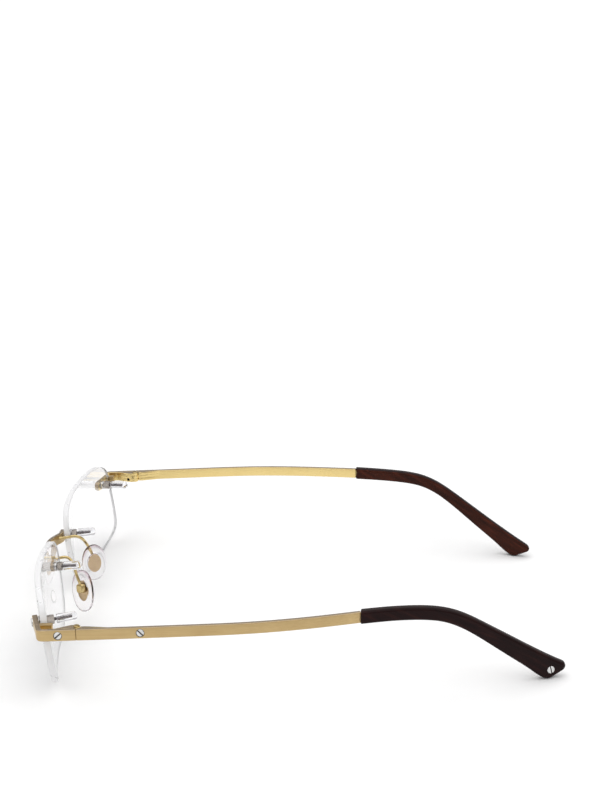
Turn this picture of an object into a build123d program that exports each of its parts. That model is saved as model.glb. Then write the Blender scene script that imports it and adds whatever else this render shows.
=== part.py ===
from build123d import *
from math import atan2, cos, radians, sin, sqrt
import os

# Rimless spectacles, standing open on a table: +Z is up, the lenses face -Y and the
# temples run towards +Y.  The wearer's left is +X.  All sizes are millimetres.
# Everything is laid out from the front of the spectacles and then moved back so the
# origin ends up under the middle of the whole object, at table level.
os.makedirs("parts", exist_ok=True)

origin_y = 66.165               # from the layout zero (just behind the lenses) to the origin
origin_z = 0.074                # height of the table above the layout zero

# Flat metal strip that the bridge, end pieces and temples are made from
strip_height = 3.1
bridge_thickness = 1.2
end_thickness = 1.45
temple_thickness = 1.35

# Lenses: a spherical shell, both surfaces about one centre
lens_radius = 132.0
lens_thickness = 1.8
lens_centre = Vector(22.7, 124.2, 31.0)
lens_outline = [
    (9.9, 18.5), (10.3, 23.0), (12.6, 26.2), (17.5, 27.5), (30.0, 28.2), (44.0, 28.3), (55.5, 27.4),
    (60.6, 24.8), (62.5, 19.0), (62.9, 10.0), (61.4, 4.6), (56.5, 2.0), (44.0, 0.3), (30.0, 0.1),
    (20.0, 1.3), (14.0, 4.9), (11.0, 10.5),
]

# Where the two screws pass through each lens, and the stack of parts on each screw
nasal_hole = (13.8, 18.8)
temporal_hole = (58.0, 20.3)
thread_radius = 0.50
screw_bore = 0.52
sleeve_radius = 1.02
lens_hole_radius = 1.05
flange_radius = 1.5
flange_thickness = 0.3
washer_radius = 1.45
washer_thickness = 0.25
seat_gap = 0.01                 # a flat washer on a hollow surface stands off by this much
nut_across_flats = 2.3
lens_screw_head_radius = 1.2
lens_screw_head_height = 0.45
nasal_stack = {"nut": 1.5, "cap_start": 4.0, "thread_end": 8.0, "cap_end": 9.4, "cap_radius": 1.35}
temporal_stack = {"nut": 2.0, "cap_start": 4.7, "thread_end": 9.0, "cap_end": 10.4, "cap_radius": 1.25}
cap_bore = 0.55

# Bridge
bridge_foot_end = 15.5
bridge_foot_start = 12.0
bridge_rise = 1.0               # the strip is this much higher in the middle

# End pieces
end_slope = 2.8                 # degrees, the strip rises towards the back
end_height = 20.3               # centre of the strip where it crosses the layout zero
side_face = 68.0                # outer face of end piece and temple
leg_start = 55.6
corner_radius = 1.5

# Lug behind each end piece, in a shallow notch in the lens's edge
lug_inner = 62.2
lug_outer = 63.9
lug_back = 2.0
lug_height = 2.8
lug_gap = 0.15

# Small blind hole in the swelling in front of each hinge, on the wearer's side
side_hole_y = 6.65
side_hole_z = -0.66
side_hole_radius = 0.5
side_hole_bottom = 65.9

# Hinges
hinge_x = 65.4
hinge_y = 8.9
knuckle_radius = 1.1
knuckle_clear = 1.3
tongue_half = 0.5
fork_gap_half = 0.55
fork_half = 1.5
hinge_pin_radius = 0.5
hinge_bore_temple = 0.55
hinge_bore_fork = 0.53
butt_gap = 0.1

# Silver screws on the outside of the strips and tips
side_screw_radius = 1.07
end_screw_turn = 40              # how far each slot is turned from upright
temple_screw_turn = -48
side_pocket_radius = 1.15
side_pocket_depth = 0.45
side_shank_radius = 0.5
end_screw_y = 4.1
temple_screw_y = 26.3

# Temples: one centre line for the metal and for the tip over it
cover_start = 85.2
plan_points = [
    (67.325, 7.0), (67.325, 24.0), (67.3, 38.0), (66.75, 54.0), (64.2, 72.0), (61.35, 85.2),
    (58.95, 96.0), (56.65, 108.0), (53.2, 120.0), (49.2, 132.0), (45.4, 143.5), (44.0, 147.0),
]
side_points = [
    (7.0, 20.64), (24.0, 21.43), (42.0, 22.28), (60.0, 23.0), (78.0, 23.7), (90.0, 24.15), (96.5, 24.2),
    (103.0, 23.9), (109.0, 22.65), (115.0, 19.65), (123.0, 14.05), (133.0, 6.9), (143.5, -1.0),
]
core_thickness = 1.0
core_height = 2.0
core_clearance = 0.03
core_end = 138.6
tip_thickness = 2.8
tip_edge_round = 0.9            # the long edges of the tip
tip_end_round = 1.3             # upper corner of the slanted end, in the side view
tip_heel_round = 2.5            # lower corner
tip_top = [                     # side view (Y, Z), from the front back to the upper corner
    (85.2, 26.0), (92.0, 26.1), (98.05, 26.02), (103.2, 25.7), (108.5, 24.7), (112.85, 23.0),
    (117.05, 20.6), (121.2, 17.9), (126.35, 14.5), (131.5, 11.1), (135.65, 8.45), (138.8, 6.5),
    (144.6, 3.15),
]
tip_bottom = [                  # from the lower corner forward
    (137.9, -0.25), (134.9, 1.8), (132.35, 3.95), (128.5, 6.98), (123.65, 10.75), (118.8, 14.55),
    (114.95, 17.36), (111.15, 19.62), (107.5, 21.08), (102.8, 21.92), (98.0, 22.23), (92.0, 22.3),
    (85.2, 22.16),
]
tip_screw_y = 138.4
tip_screw_radius = 1.1

# Nose pads and their arms
pad_centre = Vector(11.5, 2.2, 10.2)
pad_up = Vector(-0.20, -0.077, 0.977).normalized()
pad_splay = 28.0
pad_width = 7.8
pad_height = 12.8
pad_thickness = 1.5
plate_width = 4.3
plate_height = 6.4
plate_thickness = 0.35
plate_front = 0.25              # the plate lies this far towards the nose from the middle of the pad
pivot_up = 0.9                  # pivot above the middle of the pad
pivot_back = 1.2                # pivot behind the middle of the pad
tab_half = 0.42
box_width = 2.6
box_height = 2.8
box_depth = 1.6
box_front = -0.42
pad_pin_radius = 0.33
arm_radius = 0.45
arm_points = [
    (9.0, -8.6, 19.4), (9.0, -5.0, 19.7), (9.05, -2.8, 19.9), (9.6, -1.5, 19.2), (10.9, -0.4, 17.4),
    (11.95, 0.4, 15.4), (12.3, 1.02, 13.8), (12.32, 1.35, 12.6), (12.3, 1.45, 11.9),
]


def rod(radius, start, end):
    """A round bar along Z."""
    return Pos(0, 0, (start + end) / 2) * Cylinder(radius, end - start)


def tube(outer, inner, start, end):
    return rod(outer, start, end) - rod(inner, start - 1, end + 1)


def slotted_head(radius, height, turn, slot_width=0.32, slot_depth=0.22):
    """A low round screw head, its slot facing +Z."""
    head = rod(radius, 0, height)
    head = chamfer(head.edges().group_by(Axis.Z)[-1], 0.1)
    slot = Rot(0, 0, turn) * Pos(0, 0, height) * Box(3 * radius, slot_width, 2 * slot_depth)
    return head - slot


def on_edge(path, thickness, height):
    """A flat strip standing on edge along a curve drawn in plan."""
    start = Plane(origin=path @ 0, x_dir=(0, 0, 1), z_dir=path % 0)
    return sweep(start * Rectangle(height, thickness), path=path)


def lying(path, height, width):
    """A wide band seen edge-on in the side view along a curve drawn there."""
    start = Plane(origin=path @ 0, x_dir=(1, 0, 0), z_dir=path % 0)
    return sweep(start * Rectangle(width, height), path=path)


def lens_frame(hole):
    """Frame on a lens's front surface, +Z going straight through towards the wearer."""
    dx = hole[0] - lens_centre.X
    dz = hole[1] - lens_centre.Z
    point = Vector(hole[0], lens_centre.Y - sqrt(lens_radius**2 - dx**2 - dz**2), hole[1])
    through = (lens_centre - point).normalized()
    across = (Vector(1, 0, 0) - through * through.X).normalized()
    return Plane(origin=point, x_dir=across, z_dir=through)


nasal = lens_frame(nasal_hole)
temporal = lens_frame(temporal_hole)


def lens():
    edge = Spline(*lens_outline, periodic=True)
    blank = extrude(Plane.XZ * make_face(edge), 14, both=True)
    place = Pos(lens_centre.X, lens_centre.Y, lens_centre.Z)
    body = blank & (place * Sphere(lens_radius))
    body -= place * Sphere(lens_radius - lens_thickness)
    for frame in (nasal, temporal):
        body -= frame * rod(lens_hole_radius, -2, lens_thickness + 2)
    notch = Pos(lug_inner - lug_gap + 3, 0, end_height) * Box(6, 8, lug_height + 2 * lug_gap)
    return body - notch


def lens_sleeve(frame):
    """Clear sleeve with a flange that keeps the metal off the lens."""
    flange = tube(flange_radius, screw_bore, -flange_thickness, 0)
    barrel = tube(sleeve_radius, screw_bore, -0.1, lens_thickness - 0.1)
    return frame * (flange + barrel)


def lens_washer(frame):
    start = lens_thickness + seat_gap
    return frame * tube(washer_radius, screw_bore, start, start + washer_thickness)


def nut_start():
    return lens_thickness + seat_gap + washer_thickness


def lens_nut(frame, stack):
    blank = extrude(RegularPolygon(nut_across_flats / 2, 6, major_radius=False), stack["nut"])
    ends = blank.edges().group_by(Axis.Z)
    blank = chamfer(ends[0] + ends[-1], 0.12)
    return frame * (Pos(0, 0, nut_start()) * blank - rod(screw_bore, 0, 20))


def lens_cap(frame, stack):
    """Clear rounded cap over the free end of the screw."""
    cap = rod(stack["cap_radius"], stack["cap_start"], stack["cap_end"])
    cap = fillet(cap.edges().group_by(Axis.Z)[-1], stack["cap_radius"] * 0.8)
    return frame * (cap - rod(cap_bore, 0, stack["thread_end"] + 0.1))


def lens_screw(frame, stack, thickness):
    seat = -(flange_thickness + thickness)
    head = slotted_head(lens_screw_head_radius, lens_screw_head_height, 20)
    head = Pos(0, 0, seat) * Rot(180, 0, 0) * head
    return frame * (head + rod(thread_radius, seat - 0.05, stack["thread_end"]))


def spot_face(frame, thickness):
    """Flat seats for the sleeve's flange and the screw's head, and the hole between them."""
    seat = -(flange_thickness + thickness)
    behind = rod(flange_radius + 0.1, -flange_thickness, 4)
    in_front = rod(lens_screw_head_radius + 0.1, seat - 2, seat)
    return frame * (behind + in_front + rod(screw_bore + 0.01, seat - 2, 4))


def bridge():
    tilt = atan2(nasal.z_dir.Z, nasal.z_dir.Y)
    upright = Vector(0, -sin(tilt), cos(tilt))
    frame = Plane(origin=(0, nasal.origin.Y, nasal.origin.Z), x_dir=(1, 0, 0), z_dir=upright)
    slope = -nasal.z_dir.X / sqrt(1 - nasal.z_dir.X**2)
    middle = -(flange_thickness + bridge_thickness / 2)
    near = (bridge_foot_start, middle + slope * (bridge_foot_start - nasal_hole[0]))
    far = (bridge_foot_end, middle + slope * (bridge_foot_end - nasal_hole[0]))
    curve = Spline(
        (-near[0], near[1]), (-9.0, -1.75), (-5.0, -2.65), (0, -3.05), (5.0, -2.65), (9.0, -1.75), near,
        tangents=[(1, -slope), (1, slope)],
    )
    left = Line((-far[0], far[1]), (-near[0], near[1]))
    right = Line(near, far)
    path = Wire([left.edge(), curve.edge(), right.edge()])
    strip = on_edge(path, bridge_thickness, 4 * strip_height)
    strip = frame * (strip & bridge_front_view())
    for place in (nasal, nasal_other_side()):
        strip -= spot_face(place, bridge_thickness)
    return strip


def nasal_other_side():
    origin = Vector(-nasal.origin.X, nasal.origin.Y, nasal.origin.Z)
    through = Vector(-nasal.z_dir.X, nasal.z_dir.Y, nasal.z_dir.Z)
    across = Vector(nasal.x_dir.X, -nasal.x_dir.Y, -nasal.x_dir.Z)
    return Plane(origin=origin, x_dir=across, z_dir=through)


def bridge_front_view():
    """Outline of the bridge seen from the front: a low arch with rounded feet."""
    half = strip_height / 2
    foot = bridge_foot_end - half
    rise = bridge_rise
    lower = Spline((-foot, -half), (-10.4, -half + 0.08), (0, -half + rise), (10.4, -half + 0.08),
                   (foot, -half), tangents=[(1, 0), (1, 0)])
    upper = Spline((foot, half), (10.4, half + 0.08), (0, half + rise), (-10.4, half + 0.08),
                   (-foot, half), tangents=[(-1, 0), (-1, 0)])
    right = ThreePointArc((foot, -half), (bridge_foot_end, 0), (foot, half))
    left = ThreePointArc((-foot, half), (-bridge_foot_end, 0), (-foot, -half))
    return extrude(Plane.XZ * make_face([lower, right, upper, left]), 12, both=True)


def end_frame():
    """Frame of the end piece: Y along its side leg, Z across the strip."""
    slope = radians(end_slope)
    return Plane(origin=(0, 0, end_height), x_dir=(1, 0, 0), z_dir=(0, -sin(slope), cos(slope)))


def end_path():
    through = temporal.z_dir
    back = flange_thickness + end_thickness / 2
    on_leg = temporal.origin - through * back
    slope = -through.X / through.Y
    leg_x = side_face - end_thickness / 2
    start = (leg_start, on_leg.Y + slope * (leg_start - on_leg.X))
    corner = (leg_x, on_leg.Y + slope * (leg_x - on_leg.X))
    return FilletPolyline(start, corner, (leg_x, hinge_y + butt_gap / 2), radius=corner_radius)


def fork():
    """Swelling on the inside of the end piece that carries the two outer knuckles."""
    inside = side_face - end_thickness + 0.1
    outline = Polyline((inside, 2.6), (hinge_x - knuckle_radius, 7.3), (hinge_x - knuckle_radius, hinge_y),
                       (inside, hinge_y), close=True)
    block = Pos(0, 0, -fork_half) * extrude(make_face(outline), 2 * fork_half)
    block += Pos(hinge_x, hinge_y, 0) * Cylinder(knuckle_radius, 2 * fork_half)
    return block


def side_pocket(y):
    """Pocket and blind hole for a silver screw in the outer face, drawn along X."""
    face = Plane(origin=(side_face, y, 0), x_dir=(0, 1, 0), z_dir=(1, 0, 0))
    return face * (rod(side_pocket_radius, -side_pocket_depth, 1) + rod(side_shank_radius + 0.02, -1.2, 0))


def side_screw(y, turn):
    """Silver slotted screw seated in a side pocket."""
    face = Plane(origin=(side_face, y, 0), x_dir=(0, 1, 0), z_dir=(1, 0, 0))
    head = Pos(0, 0, -side_pocket_depth) * slotted_head(side_screw_radius, side_pocket_depth + 0.06, turn)
    return face * (head + rod(side_shank_radius, -1.15, -side_pocket_depth + 0.05))


def end_piece():
    frame = end_frame()
    strip = on_edge(end_path(), end_thickness, strip_height)
    free_end = strip.faces().sort_by(Axis.X)[0]
    short = free_end.edges().sort_by(SortBy.LENGTH)[:2]
    strip = fillet(short, 1.3)
    body = strip + fork()
    hinge = Pos(hinge_x, hinge_y, 0)
    body -= hinge * Cylinder(knuckle_clear, 2 * fork_gap_half)
    body -= hinge * Cylinder(hinge_bore_fork, 3 * fork_half)
    body -= side_pocket(end_screw_y)
    hole = Rot(0, 90, 0) * Cylinder(side_hole_radius, 4)
    body -= Pos(side_hole_bottom - 2, side_hole_y, side_hole_z) * hole
    return frame * body - spot_face(temporal, end_thickness)


def lens_shoe():
    """Lug behind the end piece that bears on the lens's edge and stops it turning."""
    block = Pos((lug_inner + lug_outer) / 2, (lug_back - 1.6) / 2, 0) * Box(
        lug_outer - lug_inner, lug_back + 1.6, lug_height)
    block = chamfer(block.faces().sort_by(Axis.Y)[-1].edges(), 0.2)
    return end_frame() * block - end_piece_strip()


def end_piece_strip():
    return end_frame() * on_edge(end_path(), end_thickness, strip_height)


def hinge_screw():
    shank = rod(hinge_pin_radius, -fork_half, fork_half + 0.05)
    head = Pos(0, 0, fork_half) * slotted_head(0.8, 0.35, 65, 0.25, 0.15)
    return end_frame() * Pos(hinge_x, hinge_y, 0) * (shank + head)


def temple_blank(thickness, height, start, end):
    """The temple's strip between two distances back from the front."""
    plan = Pos(0, 0, 15) * on_edge(Spline(*plan_points), thickness, 50)
    side = Plane.YZ * Spline(*side_points)
    view = Pos(56, 0, 0) * lying(side, height, 40)
    keep = Pos(56, (start + end) / 2, 15) * Box(60, end - start, 60)
    return plan & view & keep


def tongue():
    """Swelling on the inside of the temple with the middle knuckle."""
    inside = side_face - temple_thickness + 0.1
    face = hinge_y + butt_gap
    outline = Polyline((inside, face), (hinge_x + 0.1, face), (hinge_x + 0.1, face + 2.5),
                       (inside, face + 8.5), close=True)
    block = Pos(0, 0, -fork_half) * extrude(make_face(outline), 2 * fork_half)
    hinge = Pos(hinge_x, hinge_y, 0)
    for level in (-1, 1):
        block -= hinge * Pos(0, 0, level * (tongue_half + 2)) * Cylinder(knuckle_clear, 4)
    return block + hinge * Cylinder(knuckle_radius, 2 * tongue_half)


def screw_frame():
    """Frame on the outer side of the tip near its end, +Z pointing outwards."""
    point, along = tip_place(tip_screw_y)
    outwards = Vector(along.Y, -along.X, 0).normalized()
    return Plane(origin=point + outwards * 1.45, x_dir=(0, 0, 1), z_dir=outwards)


def temple():
    strip = temple_blank(temple_thickness, strip_height, 7.5, cover_start)
    in_front = Pos(60, hinge_y + butt_gap / 2 - 5, 0) * Box(30, 10, 12)
    hinge = Pos(hinge_x, hinge_y, 0)
    frame = end_frame()
    strip -= frame * in_front
    strip -= frame * (hinge * Cylinder(knuckle_clear, 12))
    body = strip + frame * tongue()
    body += temple_blank(core_thickness, core_height, cover_start - 0.2, core_end)
    body -= frame * (hinge * Cylinder(hinge_bore_temple, 12))
    body -= frame * side_pocket(temple_screw_y)
    return body - screw_frame() * rod(0.55, -4, 4)


def tip_place(y):
    """Point and direction on the temple's centre line, y back from the layout zero."""
    side = Spline(*side_points)
    plan = Spline(*plan_points)
    height = curve_at(side, 0, y)
    across = curve_at(plan, 1, y)
    point = Vector(across[0].X, y, height[0].Y)
    slope_z = height[1].Y / height[1].X
    slope_x = across[1].X / across[1].Y
    return point, Vector(slope_x, 1, slope_z).normalized()


def curve_at(curve, index, value):
    """Point and tangent where a coordinate of the curve reaches a value."""
    low, high = 0.0, 1.0
    for _ in range(40):
        middle = (low + high) / 2
        point = curve @ middle
        if (point.X, point.Y)[index] < value:
            low = middle
        else:
            high = middle
    return curve @ low, curve % low


def tip_outline():
    """Side view of the tip: two long curves and a straight slanted end with rounded corners."""
    end = Line(tip_top[-1], tip_bottom[0])
    front = Line(tip_bottom[-1], tip_top[0])
    outline = make_face([Spline(*tip_top), end, Spline(*tip_bottom), front])
    outline = fillet(outline.vertices().sort_by(Axis.X)[-1], tip_end_round)
    return fillet(outline.vertices().sort_by(Axis.Y)[0], tip_heel_round)


def temple_tip():
    """Moulded cover over the back of the temple, with a slanted end and soft edges."""
    side = extrude(Plane.YZ * tip_outline(), 80, dir=(1, 0, 0))
    body = side & Pos(0, 0, 12) * on_edge(Spline(*plan_points), tip_thickness, 60)
    body = fillet(body.edges().sort_by(SortBy.LENGTH)[-4:], tip_edge_round)
    body -= temple_blank(core_thickness + 2 * core_clearance, core_height + 2 * core_clearance,
                         cover_start - 1, core_end + 0.2)
    body -= screw_frame() * (rod(tip_screw_radius + 0.06, -0.4, 3) + rod(0.55, -2.5, 3))
    return body


def tip_screw():
    head = Pos(0, 0, -0.4) * slotted_head(tip_screw_radius, 0.45, 15)
    return screw_frame() * (head + rod(0.5, -2.4, -0.35))


def pad_frame():
    """Frame in the middle of a nose pad: Z towards the nose, Y up along the pad."""
    splay = radians(pad_splay)
    towards = Vector(-cos(splay), sin(splay), 0)
    towards = (towards - pad_up * towards.dot(pad_up)).normalized()
    return Plane(origin=pad_centre, x_dir=pad_up.cross(towards), z_dir=towards)


def nose_pad():
    back = -pad_thickness / 2
    body = Pos(0, 0, back) * extrude(Ellipse(pad_width / 2, pad_height / 2), pad_thickness)
    body = fillet(body.edges().group_by(Axis.Z)[-1], 0.9)
    body = fillet(body.edges().group_by(Axis.Z)[0], 0.35)
    recess = extrude(Ellipse(plate_width / 2 + 0.02, plate_height / 2 + 0.02), plate_front - back)
    return pad_frame() * (body - Pos(0, 0, back) * recess)


def pad_plate():
    """Metal plate set deep in the back of the pad, with the tab that the pin goes through."""
    back = plate_front - plate_thickness
    plate = Pos(0, 0, back) * extrude(Ellipse(plate_width / 2, plate_height / 2), plate_thickness - 0.01)
    tab_start = back + 0.05
    tab_end = -(pivot_back + tab_half)
    tab = Pos(0, pivot_up, (tab_start + tab_end) / 2) * Box(2 * tab_half, 2 * tab_half, tab_start - tab_end)
    hole = Pos(0, pivot_up, -pivot_back) * Rot(0, 90, 0) * Cylinder(pad_pin_radius + 0.04, 6)
    return pad_frame() * (plate + tab - hole)


def box_blank():
    """Outside of the little box at the end of the arm."""
    block = Pos(0, pivot_up, box_front - box_depth / 2) * Box(box_width, box_height, box_depth)
    return fillet(block.edges().group_by(Axis.Z)[0] + block.edges().filter_by(Axis.Z), 0.55)


def pad_box():
    inside = Pos(0, pivot_up, box_front - box_depth / 2 + 0.3) * Box(2 * tab_half + 0.2, 2.2, box_depth)
    hole = Pos(0, pivot_up, -pivot_back) * Rot(0, 90, 0) * Cylinder(pad_pin_radius + 0.02, 6)
    head_seat = Pos(1.2, pivot_up, -pivot_back) * Rot(0, 90, 0) * Cylinder(0.5, 0.4)
    return pad_frame() * (box_blank() - inside - hole - head_seat)


def pad_pin():
    shank = rod(pad_pin_radius, -1.25, 1.05)
    head = Pos(0, 0, 1.02) * slotted_head(0.47, 0.33, 0, 0.2, 0.12)
    return pad_frame() * Pos(0, pivot_up, -pivot_back) * Rot(0, 90, 0) * (shank + head)


def pad_arm():
    """Bent wire from the back of the bridge, past the lens's edge, to the box."""
    path = Spline(*arm_points)
    start = Plane(origin=path @ 0, z_dir=path % 0)
    wire = sweep(start * Circle(arm_radius), path=path)
    return wire - bridge() - pad_frame() * box_blank()


def save(node, solid):
    export_step(Pos(0, -origin_y, -origin_z) * solid, f"parts/{node}.step")


def save_pair(node, solid):
    """The piece on the wearer's left, and its mirror image on the right."""
    save(f"{node}_left", solid)
    save(f"{node}_right", mirror(solid, about=Plane.YZ))


save("bridge", bridge())
save_pair("lens", lens())
for side, frame, stack, thickness in (
    ("nasal", nasal, nasal_stack, bridge_thickness),
    ("temporal", temporal, temporal_stack, end_thickness),
):
    save_pair(f"lens_screw_{side}", lens_screw(frame, stack, thickness))
    save_pair(f"lens_sleeve_{side}", lens_sleeve(frame))
    save_pair(f"lens_washer_{side}", lens_washer(frame))
    save_pair(f"lens_nut_{side}", lens_nut(frame, stack))
    save_pair(f"lens_cap_{side}", lens_cap(frame, stack))
save_pair("end_piece", end_piece())
save_pair("lens_shoe", lens_shoe())
save_pair("end_screw", end_frame() * side_screw(end_screw_y, end_screw_turn))
save_pair("hinge_screw", hinge_screw())
save_pair("temple", temple())
save_pair("temple_screw", end_frame() * side_screw(temple_screw_y, temple_screw_turn))
save_pair("temple_tip", temple_tip())
save_pair("tip_screw", tip_screw())
save_pair("pad_arm", pad_arm())
save_pair("pad_box", pad_box())
save_pair("pad_pin", pad_pin())
save_pair("pad_plate", pad_plate())
save_pair("nose_pad", nose_pad())
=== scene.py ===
import math

import bmesh
import bpy
import numpy as np
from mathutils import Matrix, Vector


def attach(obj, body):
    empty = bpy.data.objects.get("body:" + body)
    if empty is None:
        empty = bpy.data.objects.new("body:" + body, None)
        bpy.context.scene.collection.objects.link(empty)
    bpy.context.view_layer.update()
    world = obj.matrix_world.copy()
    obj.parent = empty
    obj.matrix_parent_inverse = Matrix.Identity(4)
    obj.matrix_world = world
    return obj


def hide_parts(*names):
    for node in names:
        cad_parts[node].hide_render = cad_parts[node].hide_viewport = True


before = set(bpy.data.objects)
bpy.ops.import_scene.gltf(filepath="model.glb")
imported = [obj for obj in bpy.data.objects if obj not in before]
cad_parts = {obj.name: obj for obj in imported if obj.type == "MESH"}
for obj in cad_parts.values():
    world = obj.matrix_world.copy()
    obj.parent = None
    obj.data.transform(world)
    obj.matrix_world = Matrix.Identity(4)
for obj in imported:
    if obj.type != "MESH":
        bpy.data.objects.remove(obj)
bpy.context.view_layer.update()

# ---------------------------------------------------------------- layout
# Lengths are millimetres in the layout frame; ROW_ORIGIN is where the row's origin is in it.
# WELD and DEGENERATE are metres, and SHARP is degrees.
MM = 0.001
ROW_ORIGIN = np.array([0.0, 66.165, 0.074])
SIDES = (("left", 1.0), ("right", -1.0))
WELD = 2e-7
DEGENERATE = 1e-8
SHARP = 32.0
SECTION_STEPS = 4

STRIP_HEIGHT = 3.1
BRIDGE_THICKNESS = 1.2
END_THICKNESS = 1.45
TEMPLE_THICKNESS = 1.35

# The lens front lies on a sphere of LENS_RADIUS about LENS_CENTRE; outline and holes are (x, z).
LENS_CENTRE = np.array([22.7, 124.2, 31.0])
LENS_RADIUS = 132.0
LENS_THICKNESS = 1.8
LENS_OUTLINE = [
    (9.9, 18.5), (10.3, 23.0), (12.6, 26.2), (17.5, 27.5), (30.0, 28.2), (44.0, 28.3), (55.5, 27.4),
    (60.6, 24.8), (62.5, 19.0), (62.9, 10.0), (61.4, 4.6), (56.5, 2.0), (44.0, 0.3), (30.0, 0.1),
    (20.0, 1.3), (14.0, 4.9), (11.0, 10.5),
]
NASAL_HOLE = (13.8, 18.8)
TEMPORAL_HOLE = (58.0, 20.3)
THREAD_RADIUS = 0.50
SHANK_RADIUS = 0.49
THREAD_DEPTH = 0.08
THREAD_PITCH = 0.27
SCREW_BORE = 0.52
CAP_BORE = 0.55
BORE_CHAMFER = 0.05
FLANGE = 0.3
FLANGE_RADIUS = 1.5
SLEEVE_RADIUS = 1.02
LENS_HOLE_RADIUS = 1.05
LENS_BEVEL = 0.2
LENS_BEVEL_DRAW = 0.22
WASHER_RADIUS = 1.45
NUT_START = LENS_THICKNESS + 0.26
NUT_FLATS = 2.3
NUT_CHAMFER = 0.18
LENS_SCREW_HEAD = (1.2, 0.45)
LENS_SCREW_SLOT = (0.32, 0.22)
LENS_SCREW_TURN = -20
# Pieces on each hole: thickness of strip and nut, depths behind the lens front, radius of the cap.
STACKS = {
    "nasal": {"hole": NASAL_HOLE, "strip": BRIDGE_THICKNESS, "nut": 1.5, "cap_start": 4.0,
              "thread_end": 8.0, "cap_end": 9.4, "cap_radius": 1.35},
    "temporal": {"hole": TEMPORAL_HOLE, "strip": END_THICKNESS, "nut": 2.0, "cap_start": 4.7,
                 "thread_end": 9.0, "cap_end": 10.4, "cap_radius": 1.25},
}

STRIP_CORNER = 0.24
# Half of the bridge from its middle outwards: PLAN is (x, y) with y from the nasal hole, FOOT is the x
# of points level with the lens, LIFT is x and the rise there.
BRIDGE_PLAN = [(0, -3.05), (5.0, -2.65), (9.0, -1.75)]
BRIDGE_FOOT = (12.0, 13.75, 15.5)
BRIDGE_LIFT = ([0, 2, 4, 6, 8, 10.4, 16], [1.0, 0.965, 0.85, 0.6, 0.3, 0.06, 0.0])
BRIDGE_END_ROUND = 1.55

END_SLOPE = math.radians(2.8)
END_HEIGHT = 20.3
SIDE_FACE = 68.0
HINGE = (65.4, 8.9)
KNUCKLE = 1.1
KNUCKLE_CLEAR = 1.3
END_START = 55.6
END_BEND = 1.5
END_ROUND = 1.3
END_BEVEL = 0.08
ARM_FRONT = 2.6
ARM_BACK = 7.3
FORK_HALF = 1.5
FORK_GAP = 0.55
TONGUE_HALF = 0.5

END_SCREW_Y = 4.1
TEMPLE_SCREW_Y = 26.3
SIDE_POCKET_DEPTH = 0.45
SIDE_POCKET_RADIUS = 1.17
SIDE_SCREW_RADIUS = 1.05
SIDE_SCREW_PROUD = 0.06
SIDE_SCREW_SLOT = (0.3, 0.24)
END_SCREW_TURN = 40
TEMPLE_SCREW_TURN = -48
# Blind hole in front of the hinge, (y, z) in END_FRAME, and the x its bottom is at.
SIDE_HOLE = (6.65, -0.66)
SIDE_HOLE_RADIUS = 0.5
SIDE_HOLE_BOTTOM = 65.9

TEMPLE_CORNER = 0.22
TEMPLE_BEVEL = 0.1
SWELL_LENGTH = 8.5
SWELL_SHOULDER = 2.5
CORE_SIZE = (1.0, 2.0)
CORE_END = 137.6
COVER_START = 85.2
# Centre line of temple and tip: PLAN is (x, y) and SIDE is (y, z).
PLAN = [
    (67.325, 7.0), (67.325, 24.0), (67.3, 38.0), (66.75, 54.0), (64.2, 72.0), (61.35, 85.2),
    (58.95, 96.0), (56.65, 108.0), (53.2, 120.0), (49.2, 132.0), (45.4, 143.5), (44.0, 147.0),
]
SIDE = [
    (7.0, 20.64), (24.0, 21.43), (42.0, 22.28), (60.0, 23.0), (78.0, 23.7), (90.0, 24.15), (96.5, 24.2),
    (103.0, 23.9), (109.0, 22.65), (115.0, 19.65), (123.0, 14.05), (133.0, 6.9), (143.5, -1.0),
]
TIP_THICKNESS = 2.8
TIP_EDGE_ROUND = 0.9
TIP_FRONT_ROUND = 0.3
TIP_END_ROUND = 1.3
TIP_HEEL_ROUND = 2.5
# Upper and lower edge of the tip, (y, z).
TIP_TOP = [
    (85.2, 26.0), (92.0, 26.1), (98.05, 26.02), (103.2, 25.7), (108.5, 24.7), (112.85, 23.0),
    (117.05, 20.6), (121.2, 17.9), (126.35, 14.5), (131.5, 11.1), (135.65, 8.45), (138.8, 6.5),
    (144.6, 3.15),
]
TIP_BOTTOM = [
    (137.9, -0.25), (134.9, 1.8), (132.35, 3.95), (128.5, 6.98), (123.65, 10.75), (118.8, 14.55),
    (114.95, 17.36), (111.15, 19.62), (107.5, 21.08), (102.8, 21.92), (98.0, 22.23), (92.0, 22.3),
    (85.2, 22.16),
]

# The lens's notch leaves LUG_GAP round the lug behind the end piece.
LUG_INNER = 62.2
LUG_HEIGHT = 2.8
LUG_GAP = 0.15

PAD_CENTRE = np.array([11.5, 2.2, 10.2])
PAD_UP = np.array([-0.20, -0.077, 0.977])
PAD_SPLAY = math.radians(28.0)
PAD_HALF_WIDTH = 3.9
PAD_HALF_HEIGHT = 6.4
PAD_SQUARENESS = 0.94
BOX_WIDTH = 2.6
BOX_HEIGHT = 2.8
BOX_CORNER = 0.8
# Depths of the box in the pad's frame.
BOX_FRONT = -0.42
BOX_BACK = -2.02
BOX_FLOOR = -1.72
BOX_BACK_ROUND = 0.6
BOX_UP = 0.9

SENSOR = 36.0
CAMERA_LENS = 73.71
CAMERA_PLACE = np.array([470.6, 78.1, 200.8])
CAMERA_YAW = math.radians(1.30)
CAMERA_PITCH = math.radians(15.84)


def unit(v):
    v = np.array(v, float)
    return v / np.linalg.norm(v)


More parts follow.
